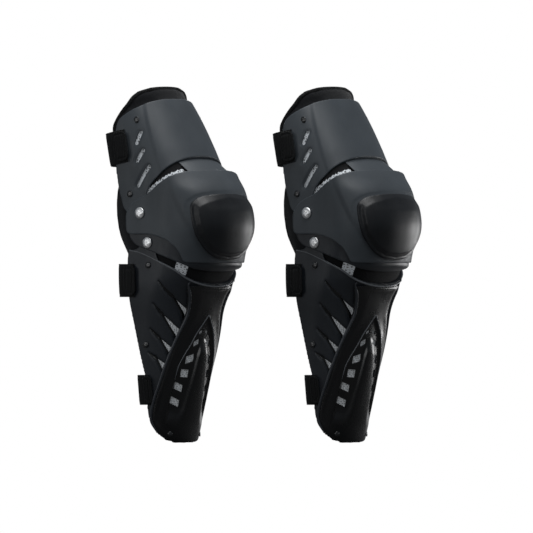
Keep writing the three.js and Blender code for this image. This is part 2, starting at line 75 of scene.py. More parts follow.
# [level, half width, start of the straight side, front, squareness]
THIGH = np.array([
    [-20, 73.3, -20, -80, 2.4],
    [30, 73.3, -20, -80, 2.4],
    [60, 75.5, -20, -82.5, 2.4],
    [100, 77, -20, -85, 2.4],
    [165, 77, -20, -85, 2.4],
])
CUP = np.array([
    [-96, 79.6, -30, -66, 2.0],
    [-84, 79.6, -30, -77, 2.0],
    [-75, 79.6, -30, -86, 2.2],
    [-60, 79.6, -30, -92, 2.2],
    [-40, 79.6, -30, -97, 2.3],
    [-20, 79.6, -30, -100, 2.4],
    [0, 79.6, -30, -98, 2.4],
    [20, 79.6, -30, -92, 2.3],
    [34, 79.6, -30, -85, 2.2],
    [49, 79.6, -30, -72, 2.0],
    [60, 79.6, -30, -61, 2.0],
    [68, 79.6, -30, -52, 2.0],
])
SHIN = np.array([
    [-292, 46, -6, -52, 2.2],
    [-257, 50, -5, -55, 2.2],
    [-190, 58, 0, -60, 2.05],
    [-151, 63, 2, -61, 2.0],
    [-112, 67.5, 0, -60.5, 2.0],
    [-84, 71, -4, -61, 2.0],
    [-62, 73, -10, -63.5, 2.1],
    [-40, 73.3, -16, -70, 2.2],
    [16, 73.3, -18, -78, 2.2],
])

THIGH_OUTLINE = [
    (26, 26), (16, 52), (3, 78), (-14, 104), (-30, 125), (-40, 131.5), (-58, 133), (-80, 133.5),
    (-112, 133.5), (-112, 42), (-84, 39), (-78, 37.5), (-68, 35), (-50, 30), (-30, 24.5), (-17, 18),
    (-12.5, 4), (-9, -9), (0, -13), (9, -9), (14, 1), (21, 12),
]
CUP_OUTLINE = [
    (27, -2), (20, 10), (8, 19), (-12, 26), (-31, 40), (-46, 50), (-58, 58.5), (-68, 62),
    (-84, 62.5), (-130, 62.5), (-130, -70), (-84, -70), (-66, -69), (-64.5, -60), (-59, -48),
    (-45, -37), (-28, -32), (-12, -29.5), (20, -30), (26, -26),
]
LINK_OUTLINE = [
    (24, -24), (17, -2), (10, 11), (0, 14), (-11, 10), (-22, -4), (-42, -24), (-66, -44),
    (-130, -54), (-130, -84), (-84, -84), (-74, -80), (-66, -72.5), (-43, -62), (-14, -52.5),
    (10, -46), (21, -36),
]
SHIN_OUTLINE = [
    (36, -16), (34, -35), (29, -62), (23.5, -88), (16, -109), (8.5, -130), (-6, -171), (-14, -193),
    (-17.5, -228), (-22, -246), (-34, -263), (-44, -271), (-90, -275), (-120, -275), (-120, -49),
    (-68, -47.5), (-58, -40.5), (-44, -29.5), (-20, -22.5), (-13, -10), (-9, 9), (0, 13), (9, 9),
    (13, -4), (22, -14),
]
SPINE_OUTLINE = [
    (-58, -51), (-55.5, -74), (-53.6, -93), (-50.5, -110), (-46, -131), (-42, -150), (-38, -170),
    (-33.5, -194), (-29.5, -214), (-27, -233), (-28, -247), (-36, -262), (-50, -271.5),
    (-70, -274), (-120, -274), (-120, -51),
]
DOME_HALF = [
    (0, 27), (22, 26.3), (43, 24), (54, 20.5), (62, 14.5), (64.5, 7), (65, -3), (63.5, -17.5),
    (59, -32), (51, -44), (40, -55.5), (24, -63.5), (0, -66.5),
]
DOME_OUTLINE = DOME_HALF + [(-x, level) for x, level in DOME_HALF[-2:0:-1]]
THIGH_SLOTS = [((-56, 97), (-45, 87), 6), ((-47, 72.5), (-33, 65), 6.5), ((-43, 48), (-14, 36.5), 6.5)]
# open part of each slash, then the groove that runs out to its tip
SLASHES = [
    [(-41, -68), (-53, -86), (-54, -94), (-51, -103), (-47.5, -88.5)],
    [(-29, -95), (-38.7, -104), (-48, -115), (-46, -131), (-42, -121)],
    [(-27, -129), (-34.5, -134.5), (-43, -142.5), (-40.5, -153), (-36.3, -145)],
    [(-24.7, -158), (-31.5, -161.7), (-38, -166.5), (-35.5, -178), (-30.5, -169)],
]
SLASH_TIPS = [(-25, -49.4), (-18, -82), (-15.3, -118.4), (-15, -152.6)]
# x, level, width, height and slope of each window of the spine
WINDOWS = [
    (6, -116, 7, 5, 0.55), (12, -131, 10, 8, 0.55), (19, -154, 13, 11, 0.4), (23.5, -175, 12, 11, 0),
    (28.5, -195, 12, 10, -0.4), (30, -216, 13, 10, -0.45),
]
GROOVE_WIDTH = 3.4
GROOVE_DEPTH = 2.2
LINER_FACE = -7.0  # before the swelling
LINER_BACK = -12
LINER_SWELL = 1.4
PAD_SWELL = 4
SWELL_STEPS = 20
MESH_FACE = -4.3
STRAP_GAP = 1.2
BACK_SHARE = 0.6  # of a strap's half length, the part behind the leg
TAB_INSET = 2
WAVE_SCALE = 0.314  # makes one band of the wave texture a pitch long
SIDES = (("left", -1), ("right", 1))

# ---- Frames and sections

def local_frame(hinge, lean):
    """Turns x, depth and level of a shell into points of the guard."""
    s, c = math.sin(math.radians(lean)), math.cos(math.radians(lean))

    def point(x, depth, level):
        x, depth, level = np.broadcast_arrays(x, depth, level)
        return np.stack([x, hinge[1] + depth * c + level * s, hinge[2] - depth * s + level * c], -1)

    def local(y, z):
        return (y - hinge[1]) * c - (z - hinge[2]) * s, (y - hinge[1]) * s + (z - hinge[2]) * c

    point.local = local
    return point


on_thigh = local_frame(UPPER, THIGH_LEAN)
on_cup = local_frame(UPPER, 0)
on_shin = local_frame(LOWER, SHIN_LEAN)


def section(rows, level):
    """Half width, side, front and squareness at each level, on a smooth curve through the rows."""
    level = np.asarray(level, float)
    keys = rows[:, 0]
    i = np.clip(np.searchsorted(keys, level, side="right") - 1, 0, len(keys) - 2)
    span = keys[i + 1] - keys[i]
    t = np.clip((level - keys[i]) / span, 0, 1)
    lo, hi = np.maximum(np.arange(len(keys)) - 1, 0), np.minimum(np.arange(len(keys)) + 1, len(keys) - 1)
    out = []
    for column in range(1, 5):
        value = rows[:, column]
        slope = (value[hi] - value[lo]) / (keys[hi] - keys[lo])
        t2, t3 = t * t, t * t * t
        out.append((2 * t3 - 3 * t2 + 1) * value[i] + (t3 - 2 * t2 + t) * span * slope[i]
                   + (3 * t2 - 2 * t3) * value[i + 1] + (t3 - t2) * span * slope[i + 1])
    return out


def outline(rows, u, level, rear):
    """x and depth of a section's outline, u from -1 (left rear) through 0 (front) to 1."""
    half, side, front, power = section(rows, level)
    size = np.abs(u)
    angle = np.clip(size / FRONT_SHARE, 0, 1) * (math.pi / 2)
    x = half * np.sin(angle) ** (2 / power)
    depth = side - (side - front) * np.clip(np.cos(angle), 0, 1) ** (2 / power)
    s = np.clip((size - FRONT_SHARE) / (1 - FRONT_SHARE), 0, 1)
    straight = size > FRONT_SHARE
    x = np.where(straight, half, x)
    depth = np.where(straight, side + s * (rear - side), depth)
    return np.where(np.asarray(u) < 0, -x, x), depth


def offset_outline(rows, u, level, rear, distance):
    """The same points moved out square to the outline."""
    x, depth = outline(rows, u, level, rear)
    step = 0.004
    x0, d0 = outline(rows, np.maximum(u - step, -1), level, rear)
    x1, d1 = outline(rows, np.minimum(u + step, 1), level, rear)
    dx, dd = x1 - x0, d1 - d0
    length = np.hypot(dx, dd)
    return x + dd / length * distance, depth - dx / length * distance


def side_x(point, rows, y, z):
    """Half width of a shell's outer face at a point seen from the side."""
    depth, level = point.local(np.asarray(y, float), np.asarray(z, float))
    return half_width(rows, depth, level)


def smooth(edge0, edge1, value):
    t = np.clip((value - edge0) / (edge1 - edge0), 0, 1)
    return t * t * (3 - 2 * t)


def half_width(rows, depth, level):
    """Half width of a section's outer face at a depth."""
    half, side, front, power = section(rows, level)
    ratio = np.clip((side - depth) / (side - front), 0, 1)
    return half * (1 - ratio ** power) ** (1 / power)


def distance_to_loop(px, py, loop):
    """Distance from points to a closed polyline, negative inside it."""
    pts = np.array(loop, float)
    best = np.full(np.shape(px), 1e9)
    inside = np.zeros(np.shape(px), bool)
    for (ax, ay), (bx, by) in zip(pts, np.roll(pts, -1, axis=0)):
        ex, ey = bx - ax, by - ay
        t = np.clip(((px - ax) * ex + (py - ay) * ey) / (ex * ex + ey * ey), 0, 1)
        best = np.minimum(best, np.hypot(px - ax - t * ex, py - ay - t * ey))
        crosses = (ay > py) != (by > py)
        with np.errstate(divide="ignore", invalid="ignore"):
            hit = px < (bx - ax) * (py - ay) / (by - ay) + ax
        inside ^= crosses & hit
    return np.where(inside, -best, best)


def round_loop(points, turns=2):
    """Corner cutting: a closed outline with its corners rounded."""
    pts = np.array(points, float)
    for _ in range(turns):
        following = np.roll(pts, -1, axis=0)
        pts = np.stack([0.8 * pts + 0.2 * following, 0.2 * pts + 0.8 * following], 1).reshape(-1, 2)
    return pts


# ---- Meshes

def new_mesh(name, points, faces, weld=False):
    """A mesh from points in millimetres, its faces turned outwards."""
    mesh = bpy.data.meshes.new(name)
    mesh.from_pydata((np.asarray(points) * MM).tolist(), [], faces)
    mesh.validate()
    bm = bmesh.new()
    bm.from_mesh(mesh)
    if weld:
        bmesh.ops.remove_doubles(bm, verts=bm.verts, dist=1e-6)
    bmesh.ops.recalc_face_normals(bm, faces=bm.faces)
    bm.to_mesh(mesh)
    bm.free()
    return mesh


def points_of(mesh):
    return np.array([v.co for v in mesh.vertices])


def grid_faces(rows, columns, start=0, flip=False):
    faces = []
    for i in range(rows - 1):
        for j in range(columns - 1):
            a = start + i * columns + j
            quad = (a, a + 1, a + columns + 1, a + columns)
            faces.append(quad[::-1] if flip else quad)
    return faces


def ring_faces(rings, sides):
    """Quads between neighbouring rings of points."""
    faces = []
    for i in range(rings - 1):
        for k in range(sides):
            a, b = i * sides + k, i * sides + (k + 1) % sides
            faces.append((a, b, b + sides, a + sides))
    return faces


def thick_sheet(name, outer, inner):
    """A closed body between two grids of points."""
    rows, columns = outer.shape[:2]
    count = rows * columns
    points = np.concatenate([outer.reshape(-1, 3), inner.reshape(-1, 3)])
    faces = grid_faces(rows, columns) + grid_faces(rows, columns, count, True)
    border = list(range(columns))
    border += range(2 * columns - 1, count, columns)
    border += range(count - 2, count - columns - 1, -1)
    border += range(count - 2 * columns, 0, -columns)
    for a, b in zip(border, border[1:] + border[:1]):
        faces.append((b, a, a + count, b + count))
    return new_mesh(name, points, faces)


def shell_sheet(name, point, rows, low, high, rear, inner, outer, across=110, along=70):
    """A C-shaped wall between two distances from the sections, each a number or a function."""
    u, level = np.meshgrid(np.linspace(-1, 1, across), np.linspace(low, high, along))
    x, depth = outline(rows, u, level, rear)
    skins = []
    for distance in (outer, inner):
        away = distance(level, x, depth) if callable(distance) else distance
        ox, od = offset_outline(rows, u, level, rear, away)
        skins.append(point(ox, od, level))
    return thick_sheet(name, *skins)


def prism(low, high):
    """A closed body between a loop of 3D points and the same loop further along."""
    n = len(low)
    faces = [tuple(range(n)), tuple(range(2 * n - 1, n - 1, -1))]
    faces += [(i, n + i, n + (i + 1) % n, (i + 1) % n) for i in range(n)]
    return new_mesh("cut", np.concatenate([low, high]), faces)


def side_prism(point, loop, x_from=-SPREAD, x_to=SPREAD):
    """A loop drawn in the side view, run through the guard from side to side."""
    depth, level = np.asarray(loop, float).T
    return prism(point(x_from, depth, level), point(x_to, depth, level))


def side_cuts(point, loops, inner):
    """Loops drawn in the side view, cut through both walls of a shell but not through its front."""
    return [side_prism(point, loop, *sorted((side * SPREAD, side * inner)))
            for loop in loops for side in (-1, 1)]


def front_prism(point, loop, depth_from=-120, depth_to=-20):
    """A loop drawn in the front view, run into the guard."""
    x, level = np.asarray(loop, float).T
    return prism(point(x, depth_from, level), point(x, depth_to, level))


def joined(meshes):
    """Several meshes as one."""
    bm = bmesh.new()
    for mesh in meshes:
        bm.from_mesh(mesh)
    mesh = bpy.data.meshes.new("cuts")
    bm.to_mesh(mesh)
    bm.free()
    return mesh


def linked(name, data):
    """A new object in the scene."""
    obj = bpy.data.objects.new(name, data)
    bpy.context.scene.collection.objects.link(obj)
    return obj


def scratch(mesh):
    return linked("scratch", mesh)


def modify(obj, kind, **settings):
    """Adds a modifier with some of its settings."""
    modifier = obj.modifiers.new(kind.lower(), kind)
    for name, value in settings.items():
        setattr(modifier, name, value)
    return modifier


def evaluated(obj, extras=()):
    bpy.context.view_layer.update()
    graph = bpy.context.evaluated_depsgraph_get()
    mesh = bpy.data.meshes.new_from_object(obj.evaluated_get(graph))
    for o in (obj, *extras):
        bpy.data.objects.remove(o)
    return mesh


def shaded(mesh):
    mesh.shade_smooth()
    return mesh


def carved(mesh, keep=(), cuts=()):
    """A body kept inside some solids and cut by others."""
    obj = scratch(mesh)
    tools = []
    for solid, operation in [(k, "INTERSECT") for k in keep] + [(c, "DIFFERENCE") for c in cuts]:
        tools.append(scratch(solid))
        modify(obj, "BOOLEAN", operation=operation, solver="EXACT", object=tools[-1])
    return evaluated(obj, tools)


def moulded(mesh, voxel=VOXEL, rounds=3, keep=0.45):
    """Rounds every edge slightly, as a moulding has them."""
    obj = scratch(mesh)
    modify(obj, "REMESH", mode="VOXEL", voxel_size=voxel * MM)
    modify(obj, "SMOOTH", factor=0.5, iterations=rounds)
    modify(obj, "DECIMATE", ratio=keep)
    return shaded(evaluated(obj))


def pierced(mesh, cuts):
    """Sharp-edged holes in a finished moulding."""
    made = shaded(carved(mesh, (), [joined(cuts)]))
    made.set_sharp_from_angle(angle=math.radians(42))
    return made


def painted(mesh, test):
    """Gives the faces whose centres pass a test the second material."""
    centres = np.zeros(len(mesh.polygons) * 3)
    mesh.polygons.foreach_get("center", centres)
    chosen = test(centres.reshape(-1, 3) / MM)
    mesh.polygons.foreach_set("material_index", chosen.astype(np.int32))
    return mesh


def smoothed(mesh):
    """The mesh divided once more, with round shading."""
    obj = scratch(mesh)
    modify(obj, "SUBSURF", levels=1)
    return shaded(evaluated(obj))


def put(tree, node, inputs):
    """Sets a node's inputs by name or number, each to a value or from another node's output."""
    for name, source in inputs.items():
        if isinstance(source, bpy.types.NodeSocket):
            tree.links.new(source, node.inputs[name])
        else:
            node.inputs[name].default_value = source


def new_node(tree, kind, inputs):
    node = tree.nodes.new("ShaderNode" + kind)
    put(tree, node, inputs)
    return node


# ---- Materials

def new_material(name, colour, roughness, metallic=0.0):
    material = bpy.data.materials.new(name)
    material.use_nodes = True
    tree = material.node_tree
    shader = tree.nodes["Principled BSDF"]
    put(tree, shader, {"Base Color": (*colour, 1), "Roughness": roughness, "Metallic": metallic})
    return material, tree, shader


def object_coordinates(tree, stretch=(1, 1, 1)):
    vector = new_node(tree, "TexCoord", {}).outputs["Object"]
    return new_node(tree, "Mapping", {"Vector": vector, "Scale": stretch}).outputs["Vector"]


def noise(tree, vector, scale, detail=3.0):
    return new_node(tree, "TexNoise", {"Vector": vector, "Scale": scale, "Detail": detail}).outputs["Fac"]


def ramp(tree, value, *stops):
    """A change between two colours, each given with the value it is reached at."""
    node = new_node(tree, "ValToRGB", {"Fac": value})
    for element, (at, colour) in zip(node.color_ramp.elements, stops):
        element.position = at
        element.color = (*colour, 1)
    return node.outputs["Color"]


def bump(tree, height, strength, distance, under=None, invert=False):
    """Relief of a depth in millimetres, over another relief if one is given."""
    inputs = {"Height": height, "Strength": strength, "Distance": distance * MM}
    if under:
        inputs["Normal"] = under
    node = new_node(tree, "Bump", inputs)
    node.invert = invert
    return node.outputs["Normal"]


def grey(value):
    return (value, value, value)


def tint(colour, factor):
    return tuple(min(1.0, c * factor) for c in colour)


def moulded_plastic(name, colour, rough, grain, coat=0.0, wear=1.5):
    """Injection-moulded plastic: fine grain, slow tone changes, scuffed edges."""
    material, tree, shader = new_material(name, colour, rough)
    vector = object_coordinates(tree)
    corners = new_node(tree, "NewGeometry", {}).outputs["Pointiness"]
    worn = new_node(tree, "MixRGB", {
        "Fac": ramp(tree, corners, (0.52, grey(0)), (0.62, grey(1))),
        "Color1": ramp(tree, noise(tree, vector, 14), (0.3, tint(colour, 0.88)), (0.7, tint(colour, 1.12))),
        "Color2": (*tint(colour, wear), 1),
    })
    scuffs = noise(tree, object_coordinates(tree, (1, 1, 0.3)), 60, 5)
    put(tree, shader, {
        "Base Color": worn.outputs["Color"],
        "Roughness": ramp(tree, scuffs, (0.35, grey(rough - 0.06)), (0.75, grey(rough + 0.06))),
        "Specular IOR Level": 0.45,
        "Coat Weight": coat,
        "Coat Roughness": 0.12,
        "Normal": bump(tree, noise(tree, vector, 1100, 2), grain, 0.25),
    })
    return material


def knit(name, colour, cell, sheen=0.25):
    """Brushed knit over foam."""
    material, tree, shader = new_material(name, colour, 0.92)
    vector = object_coordinates(tree)
    cells = new_node(tree, "TexVoronoi", {"Vector": vector, "Scale": 1 / (cell * MM)}).outputs["Distance"]
    loops = bump(tree, cells, 0.5, 0.5)
    put(tree, shader, {
        "Base Color": ramp(tree, cells, (0.1, tint(colour, 1.25)), (0.8, tint(colour, 0.7))),
        "Sheen Weight": sheen,
        "Sheen Roughness": 0.5,
        "Specular IOR Level": 0.25,
        "Normal": bump(tree, noise(tree, vector, 90, 4), 0.25, 1.2, loops),
    })
    return material


def ribbed_webbing(name, colour, pitch, axis):
    """Woven elastic webbing with raised ribs."""
    material, tree, shader = new_material(name, colour, 0.8)
    wave = new_node(tree, "TexWave", {
        "Vector": object_coordinates(tree),
        "Scale": WAVE_SCALE / (pitch * MM),
        "Distortion": 0.4,
    })
    wave.bands_direction = axis
    ribs = wave.outputs["Fac"]
    raised = bump(tree, ribs, 0.8, 0.7)
    weave = noise(tree, object_coordinates(tree, (1, 1, 3)), 900, 2)
    put(tree, shader, {
        "Base Color": ramp(tree, ribs, (0.2, tint(colour, 0.55)), (0.8, tint(colour, 1.5))),
        "Sheen Weight": 0.04,
        "Specular IOR Level": 0.25,
        "Normal": bump(tree, weave, 0.3, 0.3, raised),
    })
    return material


def air_mesh(name, strand, hole, pitch):
    """Silver spacer mesh: bright strands round dark hexagonal holes, the strands with a faint painted glow.
    """
    material, tree, shader = new_material(name, strand, 0.55)
    cells = new_node(tree, "TexVoronoi", {"Vector": object_coordinates(tree), "Scale": 1 / (pitch * MM)})
    cells.feature = "DISTANCE_TO_EDGE"
    put(tree, cells, {"Randomness": 0.35})
    to_edge = cells.outputs["Distance"]
    put(tree, shader, {
        "Base Color": ramp(tree, to_edge, (0.13, strand), (0.24, hole)),
        "Sheen Weight": 0.2,
        # painted light: the strands glow a little, to stay bright inside shaded openings
        "Emission Color": (*strand, 1),
        "Emission Strength": 0.06,
        "Normal": bump(tree, to_edge, 0.9, 0.8, invert=True),
    })
    return material


def polished_steel(name, colour, rough, scale):
    """Steel with fine scratches."""
    material, tree, shader = new_material(name, colour, rough, 1.0)
    scratches = noise(tree, object_coordinates(tree), scale, 6)
    put(tree, shader, {
        "Roughness": ramp(tree, scratches, (0.3, grey(rough - 0.08)), (0.8, grey(rough + 0.15))),
        "Normal": bump(tree, scratches, 0.2, 0.3),
    })
    return material


SLATE = moulded_plastic("slate_plastic", (0.050, 0.060, 0.070), 0.52, 0.10)
DOME = moulded_plastic("dome_plastic", (0.0075, 0.009, 0.0115), 0.42, 0.05, wear=2.0)
DARK = moulded_plastic("black_plastic", (0.018, 0.022, 0.028), 0.46, 0.10, wear=2.2)
# gloss_plastic is also the black painted as shade into the shin shell's grooves
GLOSS = moulded_plastic("gloss_plastic", (0.003, 0.0035, 0.0045), 0.28, 0.02, coat=0.3, wear=2.5)
KNIT = knit("liner_fabric", (0.005, 0.0055, 0.0065), 1.6, 0.1)
NEOPRENE = knit("neoprene", (0.010, 0.011, 0.013), 0.9, 0.15)
FOAM = knit("foam", (0.018, 0.019, 0.021), 2.4)
WEBBING = ribbed_webbing("webbing", (0.005, 0.0055, 0.006), 2.6, "Y")
BINDING = ribbed_webbing("binding", (0.004, 0.0045, 0.005), 1.0, "Z")
MESH = air_mesh("air_mesh", (0.70, 0.74, 0.78), (0.02, 0.022, 0.026), 3.8)
FINE_MESH = air_mesh("fine_mesh", (0.88, 0.92, 0.95), (0.03, 0.032, 0.036), 2.4)
STEEL = polished_steel("steel", (0.93, 0.94, 0.95), 0.40, 300)
# the rim beads are painted much lighter than the shell they belong to: a painted highlight along the raised
# edges
PAINTED_HIGHLIGHT_RIM = moulded_plastic("rim_painted_highlight", (0.13, 0.14, 0.155), 0.34, 0.03, wear=1.2)
# the spine's edge beads are painted lighter than the black spine: a painted highlight along its ridges
EDGE = moulded_plastic("edge_painted_highlight", (0.030, 0.034, 0.041), 0.34, 0.03, wear=1.6)
SNAP = moulded_plastic("snap_black", (0.012, 0.013, 0.015), 0.25, 0.02, coat=0.5)
THREAD = ribbed_webbing("thread", (0.03, 0.032, 0.035), 0.8, "Y")

# ---- Placing

def place(name, mesh, material, body, blend=None):
    """Sets a piece down on both guards. A piece named like a CAD node replaces it.
    """
    for m in material if isinstance(material, list) else [material]:
        mesh.materials.append(m)
    for tag, centre in CENTRES.items():
        node = f"{tag}_{name}"
        in_cad = node in frame["nodes"]
        obj = linked(node + "_skin" * in_cad, mesh.copy() if blend or tag == "b" else mesh)
        obj.location.x = centre
        if blend:
            first, second, start, end = blend
            shift = Vector((centre, 0, 0))
            shift + Vector(start) * MM
            shift + Vector(end) * MM
            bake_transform(obj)
        else:
            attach(obj, f"{tag}_{body}")
        if in_cad:
            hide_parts(node)


# ---- Thigh

def slot_loop(start, end, width):
    """A slot with round ends in the side view."""
    (d0, l0), (d1, l1) = start, end
    along = math.atan2(l1 - l0, d1 - d0)
    radius = width / 2
    turn = np.linspace(math.pi / 2, math.pi * 1.5, 9)
    first = [(d0 + radius * math.cos(along + t), l0 + radius * math.sin(along + t)) for t in turn]
    last = [(d1 - radius * math.cos(along + t), l1 - radius * math.sin(along + t)) for t in turn]
    return first + last


def thigh_face(level, x, depth):
    """Raised front panel and a dished surround at each slot."""
    crease = -53 - 18 * (level - 41) / 90
    rise = 1.5 * smooth(0, 4.5, crease - depth)
    for slot in THIGH_SLOTS:
        rise = rise - 1.2 * smooth(2.6, 0.6, distance_to_loop(depth, level, slot_loop(*slot)))
    return rise


def thigh_shell():
    mesh = shell_sheet("thigh", on_thigh, THIGH, -18, 142, 36, -SHELL - 0.4, thigh_face, 150, 90)
    shell = moulded(carved(mesh, [side_prism(on_thigh, round_loop(THIGH_OUTLINE))]))
    return pierced(shell, side_cuts(on_thigh, [slot_loop(*slot) for slot in THIGH_SLOTS], 40))


# ---- Knee

def cup_face(level, x, depth):
    """Front bulge with a seat for the wear cap."""
    crease = -42 - (42 - level) * 0.5
    rise = 2.2 * smooth(0, 10, crease - depth)
    seat = -0.6 * smooth(5, 1.5, distance_to_loop(x, level, DOME_OUTLINE))
    return rise + seat


def knee_cup():
    mesh = shell_sheet("cup", on_cup, CUP, -78, 67, 34, -SHELL, cup_face, 160, 100)
    return moulded(carved(mesh, [side_prism(on_cup, round_loop(CUP_OUTLINE))]))


def dome_face(level, x, depth):
    """A sloping brow along the top, a rim and a groove down the sides, and a full crown."""
    edge = -distance_to_loop(x, level, DOME_OUTLINE)
    crown = 1 - np.clip(np.hypot(x / 62, (level + 18) / 52), 0, 1) ** 2
    brow = smooth(2, 14, level)
    rim = 1.6 * np.exp(-((edge - 2.2) / 1.6) ** 2) * (1 - brow)
    bevel = 0.42 * np.minimum(edge, 5 + 0.11 * np.abs(x))
    return 2.2 + rim + 4.2 * smooth(4.5, 9.5, edge) * (1 - brow) + bevel * brow + 2.8 * crown


def knee_dome():
    mesh = shell_sheet("dome", on_cup, CUP, -74, 36, 20, 0.4, dome_face, 170, 100)
    return moulded(carved(mesh, [front_prism(on_cup, round_loop(DOME_OUTLINE), -150, -40)]))


def link_face(level, x, depth):
    return -SHELL - 0.9 + 1.6 * smooth(-68, -74, level) * smooth(-60, -75, depth)


def link_plate():
    mesh = shell_sheet("link", on_cup, CUP, -90, 20, 34, -2 * SHELL - 1.05, link_face, 150, 80)
    return moulded(carved(mesh, [side_prism(on_cup, round_loop(LINK_OUTLINE))]))


# ---- Shin

def groove(px, py, start, end, width):
    """1 on the line of a groove that widens from its start to its end, 0 beside it."""
    ex, ey = end[0] - start[0], end[1] - start[1]
    t = np.clip(((px - start[0]) * ex + (py - start[1]) * ey) / (ex * ex + ey * ey), 0, 1)
    away = np.hypot(px - start[0] - t * ex, py - start[1] - t * ey)
    return smooth(1.0, 0.6, away / (width * (0.3 + 0.7 * t)))


def painted_groove_shade(points):
    """True at the floor of the grooves beside the slashes, which is painted black as shade."""
    depth, level = on_shin.local(points[:, 1], points[:, 2])
    found = np.zeros(len(points), bool)
    for loop, tip in zip(SLASHES, SLASH_TIPS):
        found |= groove(depth, level, tip, loop[0], GROOVE_WIDTH) > 0.25
        found |= distance_to_loop(depth, level, loop) < 1.2
    return found & (level < -46)


def shin_face(level, x, depth):
    """Dished surrounds at the slashes, with a groove out to each tip."""
    rise = 0.0
    for loop, tip in zip(SLASHES, SLASH_TIPS):
        dish = smooth(2.2, 0.6, distance_to_loop(depth, level, loop))
        rise = rise - GROOVE_DEPTH * np.maximum(dish, groove(depth, level, tip, loop[0], GROOVE_WIDTH))
    return rise


def window_loop(x, level, width, height, slope, side):
    """A window of the spine in the front view, its upper and lower edges sloping."""
    rise = width * slope / 2
    half = height / 2
    corners = [(-1, rise - half), (1, -rise - half), (1, half - rise), (-1, half + rise)]
    return [(side * (x + across * width / 2), level + up) for across, up in corners]


def shin_back(level, x, depth):
    """The inside of the shell, thicker below the hinge ears."""
    return -SHELL - 1.5 * smooth(-24, -40, level)


def shin_shell():
    mesh = shell_sheet("shin", on_shin, SHIN, -288, 16, 46, shin_back, shin_face, 150, 180)
    keep = side_prism(on_shin, round_loop(SHIN_OUTLINE))
    shell = moulded(carved(mesh, [keep], [front_prism(on_shin, tear_loop(-1.5))]))
    # the groove floors and the dishes round the slashes get the black second material as painted shade
    return painted(pierced(shell, side_cuts(on_shin, SLASHES, 20)), painted_groove_shade)


# half widths of the sunk teardrop and of the tongue in it
TEAR_LEVELS = [-275, -240, -200, -165, -148, -133, -118, -103, -92]
TEAR_WIDTHS = [40, 40, 39, 36.5, 31.5, 25, 18.5, 9, 0]
TONGUE_LEVELS = [-275, -240, -200, -170, -148, -132, -124]
TONGUE_WIDTHS = [31, 26, 20, 15, 11.5, 7, 2]


def tear_inside(level, x):
    """How far a point lies inside the teardrop's edge."""
    return np.interp(level, TEAR_LEVELS, TEAR_WIDTHS) - np.abs(x)


def tear_loop(inset):
    """The teardrop's outline down to its straight part, drawn in a little."""
    pairs = [(w - inset, level) for w, level in zip(TEAR_WIDTHS, TEAR_LEVELS) if w > inset and level > -250]
    tip = [(0, TEAR_LEVELS[-1] - 1.5 * inset)]
    return [(-x, level) for x, level in pairs] + tip + pairs[::-1]


def spine_sink(level, x):
    """1 on the teardrop's floor, 0 outside it and near the foot."""
    return smooth(1.4, 3.4, tear_inside(level, x)) * smooth(-250, -222, level)


def spine_face(level, x, depth):
    """Ridged side edges, a sunk teardrop and a rounded tongue up its middle."""
    tongue_half = np.interp(level, TONGUE_LEVELS, TONGUE_WIDTHS)
    share = np.clip(np.abs(x) / np.maximum(tongue_half, 0.5), 0, 1)
    tongue = (3.2 + 2.6 * np.sqrt(1 - share ** 2)) * smooth(-122, -146, level) * smooth(1.0, 0.6, share)
    edge = -distance_to_loop(depth, level, SPINE_OUTLINE)
    ridge = 1.3 * np.exp(-((edge - 3.2) / 2.2) ** 2) * smooth(-268, -250, level)
    return 3.4 + ridge + spine_sink(level, x) * (tongue - 4.4)


def spine_back(level, x, depth):
    """The inside of the spine, which drops behind the teardrop."""
    return 0.7 - 3.8 * smooth(-1.0, 1.4, tear_inside(level, x)) * smooth(-246, -228, level)


def shin_spine():
    mesh = shell_sheet("spine", on_shin, SHIN, -288, -40, 40, spine_back, spine_face, 200, 190)
    raised = [(d, level + 4.2 * (level > -52)) for d, level in SPINE_OUTLINE]
    shell = moulded(carved(mesh, [side_prism(on_shin, round_loop(raised))]), rounds=4, keep=0.6)
    return pierced(shell, [front_prism(on_shin, window_loop(*w, side)) for w in WINDOWS for side in (-1, 1)])


# ---- Soft parts

def flare(level):
    """The thigh liner turns out over the top edge of its shell."""
    return 5.2 * smooth(136, 153, level)


def liner(point, rows, loop, low, high, rear):
    """A padded wall, crowned between its edges."""
    def face(level, x, depth):
        edge = -distance_to_loop(depth, level, loop)
        return LINER_FACE - 1.0 * (1 - smooth(0, 9, edge)) + flare(level)

    def back(level, x, depth):
        edge = -distance_to_loop(depth, level, loop)
        quilt = 0.8 * np.cos(level * 2 * math.pi / 26) ** 8
        return LINER_BACK + 1.0 * (1 - smooth(0, 10, edge)) + quilt + flare(level)

    mesh = shell_sheet("liner", point, rows, low, high, rear, back, face, 90, 60)
    shape = carved(mesh, [side_prism(point, round_loop(loop))])
    return puffed(moulded(shape, voxel=2.0, rounds=6, keep=0.5), LINER_SWELL)


def puffed(mesh, cap):
    """Swells a pad with a short cloth simulation, no further than cap."""
    obj = scratch(mesh)
    modify(obj, "REMESH", mode="VOXEL", voxel_size=3.0 * MM)
    base = evaluated(obj)
    obj = scratch(base)
    cloth = modify(obj, "CLOTH").settings
    cloth.use_pressure = True
    cloth.uniform_pressure_force = 4
    cloth.effector_weights.gravity = 0
    scene = bpy.context.scene
    for step in range(1, SWELL_STEPS + 1):
        scene.frame_set(step)
    graph = bpy.context.evaluated_depsgraph_get()
    swollen = bpy.data.meshes.new_from_object(obj.evaluated_get(graph))
    scene.frame_set(1)
    bpy.data.objects.remove(obj)
    before = points_of(base)
    move = points_of(swollen) - before
    length = np.linalg.norm(move, axis=1, keepdims=True)
    move *= np.minimum(1, cap * MM / np.maximum(length, 1e-9))
    swollen.vertices.foreach_set("co", (before + move).ravel())
    return smoothed(swollen)


